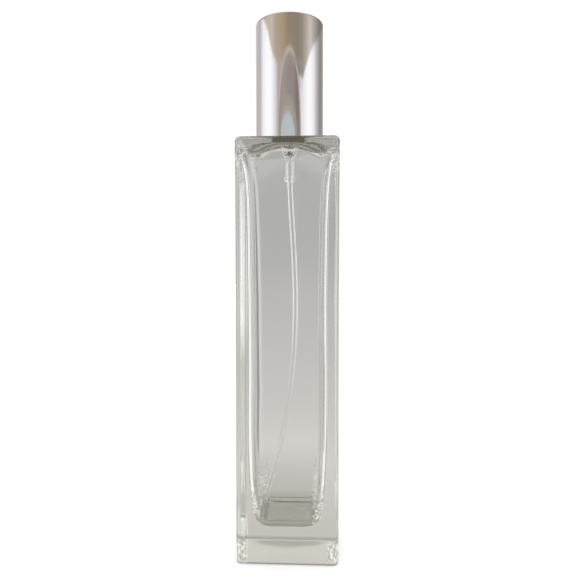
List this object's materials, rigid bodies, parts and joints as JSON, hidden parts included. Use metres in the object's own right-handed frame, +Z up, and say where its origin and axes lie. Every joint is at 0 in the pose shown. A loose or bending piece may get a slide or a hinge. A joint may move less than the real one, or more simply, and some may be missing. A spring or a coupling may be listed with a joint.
{
  "type": "aftershave bottle",
  "caption": "Tall square clear-glass spray bottle with a crimped fine-mist pump, dip tube, dress collar and a plain cylindrical mirror-finish push-on overcap.",
  "frame": {"origin": "centre of the glass base's resting plane", "axes": "+Z up along the bottle's axis; the nozzle sprays towards -Y; +X is to the right as the spray side faces the viewer"},
  "size_m": [0.038, 0.038, 0.2013],
  "materials": {
    "clear_glass": "clear polished soda-lime glass with a faint green tint",
    "clear_tubing": "translucent extruded tubing",
    "natural_plastic": "translucent natural polypropylene",
    "white_acetal": "smooth moulded white acetal",
    "grey_rubber": "matt die-cut rubber",
    "satin_aluminium": "plain drawn aluminium",
    "mirror_aluminium": "brightened anodised aluminium, mirror-like",
    "spring_steel": "drawn stainless steel"
  },
  "bodies": {
    "bottle": {"glass_bottle": "clear_glass", "dip_tube": "clear_tubing", "pump_housing": "natural_plastic", "neck_gasket": "grey_rubber", "turret": "white_acetal", "stem_seal": "grey_rubber", "crimp_ferrule": "satin_aluminium", "collar_inner_ring": "natural_plastic", "collar_shell": "mirror_aluminium", "return_spring": "spring_steel"},
    "ball": {"check_ball": "spring_steel"},
    "plunger": {"stem": "white_acetal", "valve_rod": "white_acetal", "precompression_spring": "spring_steel"},
    "piston_ring": {"piston": "white_acetal"},
    "actuator": {"actuator_core": "white_acetal", "actuator_shell": "mirror_aluminium", "nozzle_insert": "white_acetal"},
    "overcap": {"overcap_shell": "mirror_aluminium", "overcap_liner": "natural_plastic"}
  },
  "joints": [
    {"name": "overcap_lift", "type": "slide", "parent": "bottle", "child": "overcap", "axis": [0, 0, 1], "range_m": [0, 0.045]},
    {"name": "spray_press", "type": "slide", "parent": "bottle", "child": "plunger", "axis": [0, 0, -1], "range_m": [0, 0.004], "stiffness_N_per_m": 1000, "springref_m": -0.003, "deforming": ["return_spring"]},
    {"name": "actuator_turn", "type": "hinge", "parent": "plunger", "child": "actuator", "pos_m": [0, 0, 0.1744], "axis": [0, 0, 1], "continuous": true},
    {"name": "piston_open", "type": "slide", "parent": "plunger", "child": "piston_ring", "axis": [0, 0, 1], "range_m": [0, 0.0005], "deforming": ["precompression_spring"]},
    {"name": "ball_lift", "type": "slide", "parent": "bottle", "child": "ball", "axis": [0, 0, 1], "range_m": [0, 0.0008]}
  ]
}
